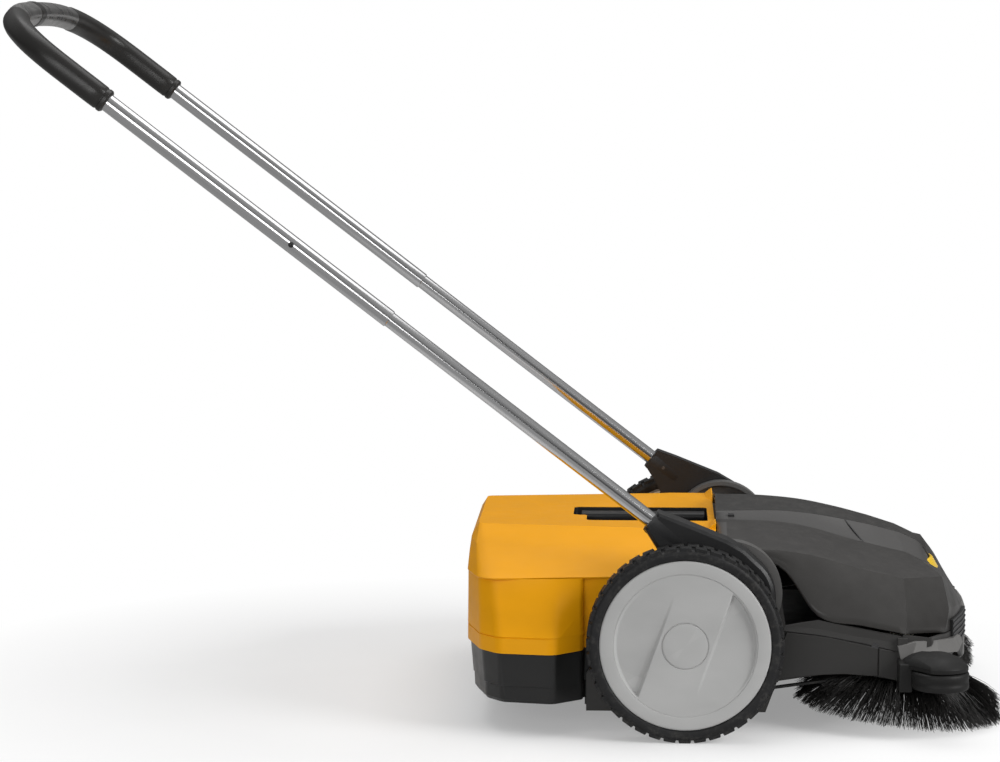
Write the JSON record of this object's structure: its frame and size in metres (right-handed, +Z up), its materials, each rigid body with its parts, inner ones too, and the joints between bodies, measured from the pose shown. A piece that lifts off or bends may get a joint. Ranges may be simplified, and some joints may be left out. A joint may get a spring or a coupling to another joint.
{
  "type": "walk behind sweeper",
  "caption": "Wheel-driven push sweeper with two front disc brushes, a sweeping roller, a pull-out dirt container and a tall folding push handle.",
  "frame": {"origin": "centre of the whole machine's box on the floor, with the handle raised for use", "axes": "+X forwards, towards the disc brushes; +Y to the operator's left; +Z up"},
  "size_m": [1.4127, 0.768, 1.0048],
  "materials": {
    "yellow_shell": "satin",
    "yellow_trim": "gloss",
    "hood_grey": "satin",
    "panel_black": "satin",
    "chassis_grey": "matte",
    "boss_grey": "satin",
    "black_plastic": "satin",
    "tray_black": "satin",
    "hub_grey": "satin",
    "rim_grey": "matte",
    "tyre_rubber": "matte",
    "flap_rubber": "matte",
    "grip_rubber": "satin",
    "bow_grey": "satin",
    "tube_aluminium": "satin",
    "shaft_steel": "satin",
    "screw_steel": "satin",
    "bush_bronze": "satin",
    "gear_nylon": "satin",
    "belt_rubber": "matte",
    "bristle": "matte"
  },
  "bodies": {
    "chassis": {"chassis_frame": "chassis_grey", "hood_shell": "hood_grey", "hood_top_panel": "panel_black", "nose_trim": "yellow_trim", "axle_shaft": "shaft_steel", "axle_clips": "screw_steel", "pivot_bosses": "boss_grey", "pivot_bolts": "screw_steel", "roller_bracket_right": "black_plastic", "roller_bracket_left": "black_plastic", "guide_pins": "shaft_steel", "brush_spindles": "shaft_steel", "drive_belt_right": "belt_rubber", "drive_belt_left": "belt_rubber", "dirt_flap": "flap_rubber", "hood_screws": "screw_steel", "shaft_bearings": "bush_bronze"},
    "container": {"container_shell": "yellow_shell", "container_cover": "yellow_shell", "container_tray": "tray_black", "grip_cup": "black_plastic", "carry_grip": "black_plastic"},
    "sweep_roller": {"roller_shaft": "shaft_steel", "roller_core": "black_plastic", "roller_bristles": "bristle"},
    "handle_lower": {"handle_arm_right": "black_plastic", "handle_arm_left": "black_plastic", "lower_tube_right": "tube_aluminium", "lower_tube_left": "tube_aluminium", "socket_screws": "screw_steel"},
    "handle_upper": {"upper_tube_right": "tube_aluminium", "upper_tube_left": "tube_aluminium", "handle_bow": "bow_grey", "handle_grips": "grip_rubber"},
    "wheel_right": {"tyre_right": "tyre_rubber", "wheel_rim_right": "rim_grey", "hub_cap_right": "hub_grey", "ring_gear_right": "gear_nylon", "wheel_bush_right": "bush_bronze"},
    "drive_pinion_right": {"drive_pinion_right": "gear_nylon"},
    "countershaft_right": {"countershaft_right": "shaft_steel", "counter_gear_right": "gear_nylon"},
    "disc_brush_right": {"brush_plate_right": "black_plastic", "disc_bristles_right": "bristle"},
    "guide_wheel_right": {"guide_wheel_right": "black_plastic"},
    "snap_button_right": {"snap_button_right": "black_plastic"},
    "wheel_left": {"tyre_left": "tyre_rubber", "wheel_rim_left": "rim_grey", "hub_cap_left": "hub_grey", "ring_gear_left": "gear_nylon", "wheel_bush_left": "bush_bronze"},
    "drive_pinion_left": {"drive_pinion_left": "gear_nylon"},
    "countershaft_left": {"countershaft_left": "shaft_steel", "counter_gear_left": "gear_nylon"},
    "disc_brush_left": {"brush_plate_left": "black_plastic", "disc_bristles_left": "bristle"},
    "guide_wheel_left": {"guide_wheel_left": "black_plastic"},
    "snap_button_left": {"snap_button_left": "black_plastic"}
  },
  "joints": [
    {"name": "wheel_spin_right", "type": "hinge", "parent": "chassis", "child": "wheel_right", "pos_m": [0.2545, -0.357, 0.135], "axis": [0, 1, 0], "continuous": true},
    {"name": "drive_pinion_spin_right", "type": "hinge", "parent": "chassis", "child": "drive_pinion_right", "pos_m": [0.31459, -0.343, 0.068], "axis": [0, 1, 0], "continuous": true},
    {"name": "countershaft_spin_right", "type": "hinge", "parent": "chassis", "child": "countershaft_right", "pos_m": [0.56313, -0.205, 0.10475], "axis": [0, 1, 0], "continuous": true},
    {"name": "disc_brush_spin_right", "type": "hinge", "parent": "chassis", "child": "disc_brush_right", "pos_m": [0.5545, -0.205, 0.01517], "axis": [0.0958, 0, 0.9954], "continuous": true},
    {"name": "guide_wheel_spin_right", "type": "hinge", "parent": "chassis", "child": "guide_wheel_right", "pos_m": [0.6025, -0.345, 0.085], "axis": [0, 0, 1], "continuous": true},
    {"name": "wheel_spin_left", "type": "hinge", "parent": "chassis", "child": "wheel_left", "pos_m": [0.2545, 0.357, 0.135], "axis": [0, 1, 0], "continuous": true},
    {"name": "drive_pinion_spin_left", "type": "hinge", "parent": "chassis", "child": "drive_pinion_left", "pos_m": [0.31459, 0.343, 0.068], "axis": [0, 1, 0], "continuous": true},
    {"name": "countershaft_spin_left", "type": "hinge", "parent": "chassis", "child": "countershaft_left", "pos_m": [0.56313, 0.205, 0.10475], "axis": [0, 1, 0], "continuous": true},
    {"name": "disc_brush_spin_left", "type": "hinge", "parent": "chassis", "child": "disc_brush_left", "pos_m": [0.5545, 0.205, 0.01517], "axis": [0.0958, 0, 0.9954], "continuous": true},
    {"name": "guide_wheel_spin_left", "type": "hinge", "parent": "chassis", "child": "guide_wheel_left", "pos_m": [0.6025, 0.345, 0.085], "axis": [0, 0, 1], "continuous": true},
    {"name": "sweep_roller_spin", "type": "hinge", "parent": "chassis", "child": "sweep_roller", "pos_m": [0.31459, 0, 0.068], "axis": [0, 1, 0], "continuous": true},
    {"name": "handle_fold", "type": "hinge", "parent": "chassis", "child": "handle_lower", "pos_m": [0.3155, 0, 0.194], "axis": [0, 1, 0], "range_deg": [0, 130]},
    {"name": "handle_extend", "type": "slide", "parent": "handle_lower", "child": "handle_upper", "axis": [-0.7934, 0, 0.6088], "range_m": [0, 0.074]},
    {"name": "snap_button_press_right", "type": "slide", "parent": "handle_upper", "child": "snap_button_right", "axis": [0, 1, 0], "range_m": [0, 0.0025], "stiffness_N_per_m": 400, "springref_m": -0.001},
    {"name": "snap_button_press_left", "type": "slide", "parent": "handle_upper", "child": "snap_button_left", "axis": [0, -1, 0], "range_m": [0, 0.0025], "stiffness_N_per_m": 400, "springref_m": -0.001},
    {"name": "container_pull", "type": "slide", "parent": "chassis", "child": "container", "axis": [-1, 0, 0], "range_m": [0, 0.36]}
  ],
  "couplings": [
    {"joint": "drive_pinion_spin_right", "follows": "wheel_spin_right", "ratio": 6},
    {"joint": "countershaft_spin_right", "follows": "wheel_spin_right", "ratio": 6},
    {"joint": "disc_brush_spin_right", "follows": "wheel_spin_right", "ratio": 2},
    {"joint": "drive_pinion_spin_left", "follows": "wheel_spin_left", "ratio": 6},
    {"joint": "countershaft_spin_left", "follows": "wheel_spin_left", "ratio": 6},
    {"joint": "disc_brush_spin_left", "follows": "wheel_spin_left", "ratio": -2},
    {"joint": "sweep_roller_spin", "follows": "wheel_spin_left", "ratio": 6}
  ]
}
